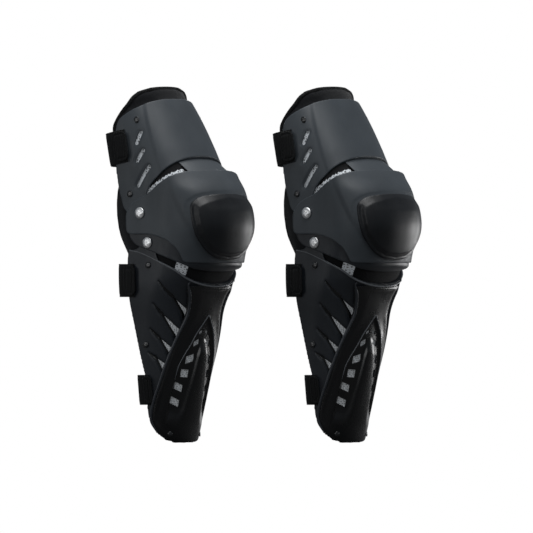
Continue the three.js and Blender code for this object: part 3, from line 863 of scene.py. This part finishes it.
THIGH_LINER_OUTLINE = [
    (22, 36), (13, 62), (0, 88), (-13, 112), (-23, 130), (-33, 136.5), (-47, 142), (-61, 147),
    (-70, 152.5), (-77, 155.5), (-110, 156), (-110, 54), (-60, 50), (-20, 40), (4, 32),
]
SHIN_LINER_OUTLINE = [
    (38, -34), (34, -60), (26.5, -90), (11, -130), (-4, -171), (-12, -195), (-15.5, -230),
    (-19, -251), (-30, -270), (-42, -278), (-58, -281), (-110, -282.8), (-110, -56), (-62, -52), (-44, -38),
    (-16, -30),
]
KNEE_PAD_OUTLINE = [
    (-30, 30), (-46, 40), (-58, 47), (-112, 47), (-112, -66), (-58, -62), (-36, -34), (-30, -16),
]


def knee_pad():
    mesh = shell_sheet("pad", on_cup, CUP, -70, 50, 0, -17.5, -8.5, 70, 50)
    front = front_prism(on_cup, [(-55, -80), (55, -80), (55, 60), (-55, 60)], -130)
    shape = carved(mesh, [side_prism(on_cup, round_loop(KNEE_PAD_OUTLINE)), front])
    return puffed(moulded(shape, voxel=2.5, rounds=8, keep=0.5), PAD_SWELL)


def mesh_panel(point, rows, loop, low, high, rear):
    """Spacer mesh that lies inside a shell."""
    panel = shell_sheet("panel", point, rows, low, high, rear, MESH_FACE - 1.0, MESH_FACE, 90, 50)
    return carved(panel, [side_prism(point, round_loop(loop))])


# ---- Rivets

def button(radius, height, shank, length, dimples, out):
    """A domed head on a shank along X: out is the x of the head's underside."""
    profile = [(0, -length), (shank, -length), (shank, 0), (radius * 0.94, 0), (radius, 0.25 * height)]
    profile += [(radius * math.cos(t), height * (0.3 + 0.7 * math.sin(t)))
                for t in np.linspace(0.15, 1.45, 9)]
    profile += [(0, height)]
    turns = 40
    points = []
    for r, h in profile:
        for angle in np.arange(turns) * 2 * math.pi / turns:
            dent = 0.0
            if h > 0.3 * height:
                dent = dimples * (0.5 + 0.5 * math.cos(5 * angle + r)) * (r / radius)
                dent += dimples * math.exp(-((r / (radius * 0.35)) ** 2))
            points.append((out + h - dent, r * math.cos(angle), r * math.sin(angle)))
    return shaded(new_mesh("button", points, ring_faces(len(profile), turns), weld=True))


def set_at(mesh, side, at, turn=0.0):
    """The mesh turned about the vertical and set at a place on one side of the guard."""
    points = points_of(mesh) / MM
    c, s = math.cos(turn), math.sin(turn)
    points[:, :2] = points[:, :2] @ np.array([[c, -s], [s, c]])
    points = (points + at) * (side, 1, 1)
    copy = mesh.copy()
    copy.vertices.foreach_set("co", (points * MM).ravel())
    if side < 0:
        copy.flip_normals()
    return copy


RIVET = dict(radius=8, height=4.0, shank=3.2, dimples=0.45)
SNAP_HEAD = dict(radius=4.75, height=2.0, shank=2, length=3, dimples=0.2)
FOOT_HEAD = dict(radius=3.6, height=1.6, shank=1.5, length=3, dimples=0.1)
FOOT_RIVET = (29.8, -262.0)  # x and level


def foot_rivet(side):
    """The small rivet low on the front of the spine, square to its face."""
    away, level = FOOT_RIVET
    slope = float(depth_at(SHIN, away + 1, level) - depth_at(SHIN, away - 1, level)) / 2
    at = on_shin(away, float(depth_at(SHIN, away, level)), level)
    return set_at(button(**FOOT_HEAD, out=3.6), side, at, math.pi / 2 - math.atan(slope))


# ---- Straps

STRAPS = {
    "thigh": SimpleNamespace(point=on_thigh, rows=THIGH, centre=416, width=46, front=22, rear=49,
                             bow=22, tilt=11),
    "upper_calf": SimpleNamespace(point=on_shin, rows=SHIN, centre=229, width=46, front=10, rear=33,
                                  bow=20, tilt=0),
    "lower_calf": SimpleNamespace(point=on_shin, rows=SHIN, centre=77, width=42, front=-3, rear=13,
                                  bow=17, tilt=0),
}


def tilted(spec, y, z):
    """A strap's points turned a little in the side view, its back end lower."""
    s, c = math.sin(math.radians(spec.tilt)), math.cos(math.radians(spec.tilt))
    dy, dz = y - spec.front - 10, z - spec.centre
    return y - dy + dy * c + dz * s, z - dz + dz * c - dy * s


def strap_path(spec, u, z, lift):
    """Points of a strap: along the left side, across the back and along the right side."""
    side = np.where(u < 0.5, -1, 1)
    along = np.abs(u - 0.5) * 2
    edge = side_x(spec.point, spec.rows, spec.rear, z) + STRAP_GAP
    angle = np.clip(along / BACK_SHARE, 0, 1) * (math.pi / 2)
    x_back = (edge + lift) * np.sin(angle) ** (2 / 3)
    y_back = spec.rear + (spec.bow + lift) * np.clip(np.cos(angle), 0, 1) ** (2 / 3)
    forward = np.clip((along - BACK_SHARE) / (1 - BACK_SHARE), 0, 1)
    y_side = spec.rear + forward * (spec.front + 5 - spec.rear)
    x_side = side_x(spec.point, spec.rows, y_side, z) + STRAP_GAP + lift
    behind = along <= BACK_SHARE
    y, z = tilted(spec, np.where(behind, y_back, y_side), z)
    return np.stack([side * np.where(behind, x_back, x_side), y, z], -1)


def strap_band(spec):
    """A strap with thinner hems."""
    u, v = np.meshgrid(np.linspace(0, 1, 120), np.linspace(0, 1, 22))
    z = spec.centre + (v - 0.5) * spec.width
    hem = 0.5 * np.exp(-((np.abs(v - 0.5) * 2 - 0.88) / 0.05) ** 2)
    band = thick_sheet("band", strap_path(spec, u, z, 2.2 - hem), strap_path(spec, u, z, 0 * u))
    return moulded(band, voxel=0.9, rounds=2, keep=0.35)


def tab_points(spec, side, y, z, lift):
    """Points of a strap end, raised from the shell under it."""
    y, z = tilted(spec, y, z)
    return np.stack([side * (side_x(spec.point, spec.rows, y, z) + lift), y, z], -1)


def strap_tab(spec, side):
    """A folded strap end with round corners and a stitched hem, on one side of the guard."""
    front, rear = spec.front + 1, spec.rear - 2
    half = spec.width / 2 - TAB_INSET
    u, v = np.meshgrid(np.linspace(0, 1, 70), np.linspace(0, 1, 80))
    y = front + u * (rear - front)
    up = (v - 0.5) * 2 * half
    edge = np.minimum(np.minimum(y - front, rear - y), half - np.abs(up))
    lift = 2.2 - 0.9 * np.exp(-((edge - 4.2) / 0.8) ** 2) + 0.5 * smooth(5, 7, edge)
    tab = thick_sheet("tab", tab_points(spec, side, y, spec.centre + up, 3.8 + lift),
                      tab_points(spec, side, y, spec.centre + up, 3.8))
    corner = min(9, 0.42 * (rear - front))
    loop = []
    for cy, cz, start in ((rear - corner, half - corner, 0), (front + corner, half - corner, 90),
                          (front + corner, corner - half, 180), (rear - corner, corner - half, 270)):
        for t in np.radians(range(start, start + 91, 15)):
            loop.append(tilted(spec, cy + corner * math.cos(t), spec.centre + cz + corner * math.sin(t)))
    low, high = sorted((side * 20, side * SPREAD))
    keep = prism([(low, *p) for p in loop], [(high, *p) for p in loop])
    return moulded(carved(tab, [keep]), voxel=0.8, rounds=2, keep=0.4)


def stitch_row(spec, side):
    """A run of short stitches round a strap end."""
    front, rear = spec.front + 4, spec.rear - 5
    half = spec.width / 2 - TAB_INSET - 3.2
    corners = np.array([(front, half), (rear, half), (rear, -half), (front, -half), (front, half)])
    run = np.cumsum([0, rear - front, 2 * half, rear - front, 2 * half])
    steps = np.arange(60) / 60 * run[-1]
    path = np.stack([np.interp(steps, run, corners[:, 0]),
                     np.interp(steps, run, corners[:, 1]) + spec.centre], -1)
    points, faces = [], []
    for start, end in zip(path, np.roll(path, -1, axis=0)):
        step = end - start
        across = np.array([-step[1], step[0]]) / np.linalg.norm(step) * 0.35
        base = len(points)
        for along, width, lift in ((-0.32, 1, 5.4), (0, 1.3, 5.85), (0.32, 1, 5.4)):
            middle = (start + end) / 2 + step * along
            for aside, height in ((-width, lift), (width, lift), (0, 5.0)):
                points.append(tab_points(spec, side, *(middle + across * aside), height))
        for p in (base, base + 3):
            faces += [(p, p + 1, p + 4, p + 3), (p + 1, p + 2, p + 5, p + 4), (p + 2, p, p + 3, p + 5)]
        faces += [(base, base + 2, base + 1), (base + 6, base + 7, base + 8)]
    return new_mesh("stitches", points, faces)


# ---- Beads, bindings and gussets

def depth_at(rows, x, level):
    """Depth of a shell's front at a distance from the centre plane."""
    half, side, front, power = section(rows, level)
    ratio = np.clip(np.abs(x) / half, 0, 1)
    return side - (side - front) * (1 - ratio ** power) ** (1 / power)


def skin(point, rows, side, depth, level, lift):
    """Points of a shell's face drawn in its side view, raised square to the section."""
    half, start, front, power = section(rows, level)
    ratio = np.clip((start - depth) / (start - front), 0, 1)
    x = half_width(rows, depth, level)
    nx = (x / half) ** (power - 1) / half
    nd = -ratio ** (power - 1) / (start - front)
    length = np.hypot(nx, nd)
    return point(side * (x + nx / length * lift), depth + nd / length * lift, level)


def smooth_path(points, spacing):
    """A curve through points, evenly stepped."""
    pts = np.asarray(points, float)
    padded = np.concatenate([[2 * pts[0] - pts[1]], pts, [2 * pts[-1] - pts[-2]]])
    fine = []
    for a, b, c, d in zip(padded, padded[1:], padded[2:], padded[3:]):
        for t in np.linspace(0, 1, 12, endpoint=False):
            fine.append(0.5 * (2 * b + (c - a) * t + (2 * a - 5 * b + 4 * c - d) * t * t
                               + (3 * b - a - 3 * c + d) * t ** 3))
    fine = np.array(fine + [pts[-1]])
    run = np.concatenate([[0], np.cumsum(np.linalg.norm(np.diff(fine, axis=0), axis=1))])
    steps = np.linspace(0, run[-1], max(int(run[-1] / spacing), 4))
    return np.stack([np.interp(steps, run, fine[:, k]) for k in range(pts.shape[1])], -1)


def tube(path, radius, sides=10, taper=0.0):
    """A round bead along a path, closed at both ends."""
    path = np.asarray(path, float)
    tangent = np.gradient(path, axis=0)
    tangent /= np.linalg.norm(tangent, axis=1, keepdims=True)
    across = np.cross(tangent, (0.31, 0.52, 0.79))
    across /= np.linalg.norm(across, axis=1, keepdims=True)
    over = np.cross(tangent, across)
    share = np.linspace(0, 1, len(path))
    size = radius * (1 - taper * smooth(0.85, 1, np.abs(share * 2 - 1)))[:, None]
    rings = []
    for angle in np.arange(sides) * 2 * math.pi / sides:
        rings.append(path + (across * math.cos(angle) + over * math.sin(angle)) * size)
    points = np.stack(rings, 1).reshape(-1, 3)
    last = (len(path) - 1) * sides
    caps = [tuple(range(sides)), tuple(range(last, last + sides))]
    return shaded(new_mesh("bead", points, ring_faces(len(path), sides) + caps))


def rim_lift(depth):
    """The bead lies low at the sides, where the link plate swings over it."""
    return -1.2 + 1.8 * smooth(-38, -54, depth)


def shin_rim():
    """The raised bead along the top edge of the shin shell."""
    side_edge = [(34, -17.2), (24, -16.5), (10, -17.2), (-20, -22.8), (-43.8, -29.8), (-58, -41)]
    left = smooth_path(side_edge, 2.0)
    path = [skin(on_shin, SHIN, -1, d, level, rim_lift(d)) for d, level in left]
    half = 46
    front = np.linspace(-half, half, 34)
    level = -49.4 + 6.5 * (np.abs(front) / half) ** 2.4
    path += [on_shin(x, depth_at(SHIN, x, k) - 2.6, k) for x, k in zip(front, level)]
    path += [skin(on_shin, SHIN, 1, d, level, rim_lift(d)) for d, level in left[::-1]]
    return tube(smooth_path(path, 2.5), 1.35)


def spine_edge(side):
    """The rolled edge of the spine down one side."""
    edge = [(-59, -45.5)] + [(d + 1, level) for d, level in SPINE_OUTLINE[:12]]
    path = [skin(on_shin, SHIN, side, d, level, 3.5 - 2.4 * smooth(-60, -46, level))
            for d, level in smooth_path(edge, 3.0)]
    return tube(path, 2.2, 14, 0.5)


def tear_rim():
    """The fine bead round the top of the teardrop."""
    levels = [-186, -165, -148, -133, -118, -103, -94, -91]
    widths = [38, 36.5, 31.5, 25, 18.5, 9, 2.5, 0]
    half = [(-w, level) for level, w in zip(levels, widths)]
    loop = smooth_path(half + [(-x, level) for x, level in half[-2::-1]], 2.0)
    path = [on_shin(x, depth_at(SHIN, x, level) - 3.4, level) for x, level in loop]
    return tube(path, 0.75, 8, 0.6)


def liner_binding():
    """The sewn tape round the top edge of the thigh liner."""
    top = THIGH_LINER_OUTLINE[:10]
    pts = [(d + 1.5, level - 2.5) for d, level in smooth_path(top, 3.0)]
    left = [skin(on_thigh, THIGH, -1, d, level, -8.8 + flare(level)) for d, level in pts]
    front = [on_thigh(x, depth_at(THIGH, x, 154) + 3.2, 153.6) for x in np.linspace(-30, 30, 16)]
    right = [skin(on_thigh, THIGH, 1, d, level, -8.8 + flare(level)) for d, level in pts[::-1]]
    return tube(smooth_path(left + front + right, 3.0), 2.9, 12)


def web(lower, upper, thickness, bulge=0.0, steps=30):
    """A soft panel between two rows of points, thickened towards the middle of the leg."""
    v = np.linspace(0, 1, steps)[:, None, None]
    outer = lower * (1 - v) + upper * v
    inside_leg = (0, outer.mean(axis=(0, 1))[1] + 60, 0)
    away = outer - inside_leg
    away[..., 2] = 0
    away /= np.maximum(np.linalg.norm(away, axis=-1, keepdims=True), 1e-6)
    outer = outer + away * bulge * np.sin(v * math.pi)
    return thick_sheet("web", outer, outer - away * thickness)


FLANK = 0.84  # how far round from the front a gusset reaches


def ring(point, rows, level, lift, reach=FLANK):
    """Points round a shell at levels that are a function of how far round they are."""
    u = np.linspace(-reach, reach, 160)
    levels = level(np.abs(u)) + 0 * u
    x, depth = offset_outline(rows, u, levels, 0.0, lift)
    return point(x, depth, levels)


def upper_gusset():
    """Mesh and knit that close the gap between the thigh shell and the knee cup."""
    low = ring(on_cup, CUP, lambda r: 52 - 40 * smooth(0.15, 0.8, r), -6.0)
    high = ring(on_thigh, THIGH, lambda r: 48 - 18 * smooth(0.3, FLANK, r), -5.6)
    return painted(web(low, high, 2.0), upper_vent)


def lower_gusset():
    """Mesh and knit that close the gap between the link plate and the shin shell."""
    low = ring(on_shin, SHIN, lambda r: -62 + 26 * smooth(0.2, FLANK, r), -5.2)
    high = ring(on_cup, CUP, lambda r: -66 + 34 * smooth(0.2, FLANK, r), -10.0)
    return painted(web(low, high, 2.0, 2.0), lower_vent)


def upper_vent(points):
    """True on the mesh strip that runs along the top edge of the cup."""
    depth, level = on_cup.local(points[:, 1], points[:, 2])
    top = np.interp(-depth, [-20, -8, 12, 31, 46, 58, 70], [10, 19, 26, 40, 50, 58.5, 62])
    return (level < top + 11.0) & (np.abs(points[:, 0]) > 42)


def lower_vent(points):
    """True on the mesh patch in front of the lower hinge."""
    away = np.abs(points[:, 0])
    return (away > 50) & (away < 63)


def cup_flange():
    """The plain strip of the cup that runs up under the thigh shell."""
    reach = 0.26
    low = ring(on_cup, CUP, lambda r: 57.0, -0.9, reach)
    high = ring(on_thigh, THIGH, lambda r: 43.0, -4.1, reach)
    return smoothed(web(low, high, 1.3, steps=8))


def collar():
    """The padded roll that shows between the link plate and the shin shell."""
    path = ring(on_cup, CUP, lambda r: -74 + 20 * smooth(0.25, 0.6, r), -9.0, 0.55)
    return tube(smooth_path(path, 3.0), 4.2, 14, 0.7)


SLEEVE = {  # rear edge of the padded sleeve behind the knee: [height, depth of the guard]
    "upper": [(376, 47), (356, 56), (338, 58), (320, 57.5), (300, 54)],
    "lower": [(304, 55), (290, 50.5), (278, 44), (266, 37), (252, 29)],
}


def sleeve(part, side):
    """The padded wing beside the knee, behind the rivets."""
    edge = np.array(SLEEVE[part], float)
    z = np.linspace(edge[0, 0], edge[-1, 0], 22)[:, None]
    rear = np.interp(-z, -edge[:, 0], edge[:, 1])
    v = np.linspace(0, 1, 26)[None]
    front = 8.0
    x, y, z = np.broadcast_arrays(66.5 - 5.0 * smooth(0.35, 1.0, v) ** 2, front + v * (rear - front), z)
    plump = 2.4 * np.sqrt(np.clip(1 - (2 * v - 1) ** 4, 0, 1))
    outer = np.stack([side * (x + plump * 0.6), y, z], -1)
    inner = np.stack([side * (x - 1.5 - plump), y, z], -1)
    return smoothed(thick_sheet("sleeve", outer, inner))


# ---- Build

place("thigh_shell", thigh_shell(), SLATE, "thigh")
place("knee_cup", knee_cup(), SLATE, "knee")
place("knee_dome", knee_dome(), DOME, "knee")
place("link_plate", link_plate(), DARK, "knee")
# the shin shell's second material is black painted as shade into its grooves
place("shin_shell", shin_shell(), [DARK, GLOSS], "shin")
place("shin_spine", shin_spine(), GLOSS, "shin")

RAISED = [(depth, level + 2 * (level > 130)) for depth, level in THIGH_LINER_OUTLINE]
place("thigh_liner", liner(on_thigh, THIGH, RAISED, 26, 164, 32),
      NEOPRENE, "thigh")
place("shin_liner", liner(on_shin, SHIN, SHIN_LINER_OUTLINE, -290, -24, 44),
      KNIT, "shin")
place("knee_pad", knee_pad(), FOAM, "knee")

THIGH_PANEL = [(12, 42), (0, 80), (-20, 104), (-112, 112), (-112, 52), (-66, 50), (-54, 28), (-20, 24),
               (8, 30)]
SHIN_PANEL = [(14, -42), (5, -90), (-8, -140), (-18, -190), (-25, -236), (-112, -246), (-112, -56),
              (-60, -48), (-36, -34), (-10, -26)]
place("thigh_mesh", mesh_panel(on_thigh, THIGH, THIGH_PANEL, 18, 116, 34),
      MESH, "thigh")
place("shin_mesh", mesh_panel(on_shin, SHIN, SHIN_PANEL, -250, -20, 44),
      FINE_MESH, "shin")

for word, side in SIDES:
    upper, lower = button(**RIVET, length=11.5, out=80.0), button(**RIVET, length=8.0, out=76.6)
    place(f"upper_rivet_{word}", set_at(upper, side, (0, *UPPER[1:])), STEEL, "knee")
    place(f"lower_rivet_{word}", set_at(lower, side, (0, *LOWER[1:])), STEEL, "knee")
    for body, point, rows, spots in (("thigh", on_thigh, THIGH, [(-60, 116), (4, 35)]),
                                     ("shin", on_shin, SHIN, [(-4, -31), (-10, -142)])):
        for number, (depth, level) in enumerate(spots, 1):
            _, y, z = point(0, depth, level)
            head = button(**SNAP_HEAD, out=float(side_x(point, rows, y, z)) + 0.5)
            place(f"{body}_snap_{word}_{number}", set_at(head, side, (0, y, z)), SNAP, body)

for word, side in SIDES:
    place(f"foot_rivet_{word}", foot_rivet(side), SNAP, "shin")

for name, spec in STRAPS.items():
    body = "thigh" if name == "thigh" else "shin"
    place(f"{name}_strap", strap_band(spec), WEBBING, body)
    place(f"{name}_tab", strap_tab(spec, -1), WEBBING, body)
    place(f"{name}_anchor", strap_tab(spec, 1), WEBBING, body)
    for word, side in SIDES:
        place(f"{name}_stitches_{word}", stitch_row(spec, side), THREAD, body)

# painted highlight: the beads along the shin's top edge and round the teardrop are lighter than the shell
place("shin_rim", shin_rim(), PAINTED_HIGHLIGHT_RIM, "shin")
place("tear_rim", tear_rim(), PAINTED_HIGHLIGHT_RIM, "shin")
# painted highlight: the spine's rolled edges are lighter than the spine
for word, side in SIDES:
    place(f"spine_edge_{word}", spine_edge(side), EDGE, "shin")
place("liner_binding", liner_binding(), BINDING, "thigh")
place("collar", collar(), KNIT, "knee")
place("cup_flange", cup_flange(), SLATE, "knee")

UPPER_BLEND = ("knee", "thigh", (0, UPPER[1] - 6, UPPER[2] + 6), (0, UPPER[1] + 22, UPPER[2] + 44))
LOWER_BLEND = ("shin", "knee", (0, LOWER[1], LOWER[2] - 34), (0, LOWER[1], LOWER[2] - 8))
UPPER_SLEEVE_BLEND = ("knee", "thigh", (0, 0, UPPER[2] - 4), (0, 0, UPPER[2] + 36))
LOWER_SLEEVE_BLEND = ("shin", "knee", (0, 0, LOWER[2] - 26), (0, 0, LOWER[2] + 8))
place("upper_gusset", upper_gusset(), [KNIT, MESH], None,
      blend=UPPER_BLEND)
place("lower_gusset", lower_gusset(), [KNIT, MESH], None,
      blend=LOWER_BLEND)
for word, side in SIDES:
    place(f"upper_sleeve_{word}", sleeve("upper", side), NEOPRENE, None,
          blend=UPPER_SLEEVE_BLEND)
    place(f"lower_sleeve_{word}", sleeve("lower", side), NEOPRENE, None,
          blend=LOWER_SLEEVE_BLEND)

# ---- Scene

VIEW_WIDTH = 740.87
VIEW_CENTRE = (8.5, 248.5)  # to the right of the pair's middle and up
VIEW_AZIMUTH = math.radians(-50)
VIEW_BACK = Vector((math.sin(VIEW_AZIMUTH), -math.cos(VIEW_AZIMUTH), 0))
VIEW_RIGHT = Vector((math.cos(VIEW_AZIMUTH), math.sin(VIEW_AZIMUTH), 0))


def faced(obj, direction):
    """Turns a camera or a light to look along a direction."""
    obj.rotation_mode = "QUATERNION"
    obj.rotation_quaternion = direction.to_track_quat("-Z", "Y")


def camera():
    """A flat view from the photograph's side, level with the middle of the guards."""
    data = bpy.data.cameras.new("camera")
    data.type = "ORTHO"
    data.ortho_scale = VIEW_WIDTH * MM
    data.clip_end = 20
    obj = linked("camera", data)
    right, up = VIEW_CENTRE
    obj.location = VIEW_RIGHT * right * MM + Vector((0, 0, up * MM)) + VIEW_BACK * 3
    faced(obj, -VIEW_BACK)
    bpy.context.scene.camera = obj


def soft_light(name, at, aim, size, power):
    """An area light in metres and watts."""
    data = bpy.data.lights.new(name, "AREA")
    data.energy = power
    data.size = size
    obj = linked(name, data)
    obj.location = at
    obj.visible_camera = False
    faced(obj, Vector(aim) - Vector(at))


def seen_and_unseen(tree, seen, unseen, output):
    """Camera rays get one shader and every other ray gets the other."""
    ray = new_node(tree, "LightPath", {}).outputs["Is Camera Ray"]
    mix = new_node(tree, "MixShader", {0: ray, 1: unseen.outputs[0], 2: seen.outputs[0]})
    put(tree, tree.nodes[output], {"Surface": mix.outputs[0]})


def pale_floor():
    """A floor that looks white but throws little light up at the object."""
    material, tree, shader = new_material("floor", (0.8, 0.8, 0.8), 0.8)
    glow = new_node(tree, "Emission", {"Color": (1, 1, 1, 1), "Strength": 0.72})
    both = new_node(tree, "AddShader", {0: shader.outputs[0], 1: glow.outputs[0]})
    dull = new_node(tree, "BsdfDiffuse", {"Color": (0.1, 0.1, 0.1, 1)})
    seen_and_unseen(tree, both, dull, "Material Output")
    return material


def pale_room():
    """Soft daylight all round, seen as plain white."""
    world = bpy.data.worlds.new("world")
    world.use_nodes = True
    tree = world.node_tree
    room = tree.nodes["Background"]
    put(tree, room, {"Color": (0.86, 0.93, 1, 1), "Strength": 0.16})
    backdrop = new_node(tree, "Background", {"Color": (1, 1, 1, 1)})
    seen_and_unseen(tree, backdrop, room, "World Output")
    return world


def studio():
    """Floor, surroundings and lights."""
    mesh = bpy.data.meshes.new("floor")
    corners = [(x * 6, y * 6, -0.004) for x, y in ((-1, -1), (1, -1), (1, 1), (-1, 1))]
    mesh.from_pydata(corners, [], [(0, 1, 2, 3)])
    mesh.materials.append(pale_floor())
    linked("floor", mesh)
    bpy.context.scene.world = pale_room()
    bpy.context.scene.view_settings.view_transform = "Standard"
    middle = Vector((0, 0, 0.27))
    back, right, up = VIEW_BACK, VIEW_RIGHT, Vector((0, 0, 1))
    soft_light("top", back * 0.7 + right * 0.4 + up * 2.2, middle, 1.2, 20)
    soft_light("overhead", back * -0.5 + right * 0.1 + up * 2.2, middle, 1.0, 14)
    soft_light("side", (2.0, -0.45, 0.3), middle, 0.7, 1.5)
    soft_light("low", (1.2, -0.35, 0.06), (0, 0, 0.10), 0.6, 6)
    soft_light("front", back * 2.2 - right * 0.9 + up * 0.8, middle, 1.2, 6)
    soft_light("left", right * -1.9 + back * 0.9 + up * 0.5, middle, 0.9, 4)
    soft_light("rear", back * -2.0 - right * 0.4 + up * 0.9, middle, 1.2, 16)
    for tag, centre in CENTRES.items():
        soft_light(f"rim_{tag}", (centre + 0.21, 0.06, 0.12), (centre + 0.03, -0.05, 0.11), 0.25, 0.06)


camera()
studio()
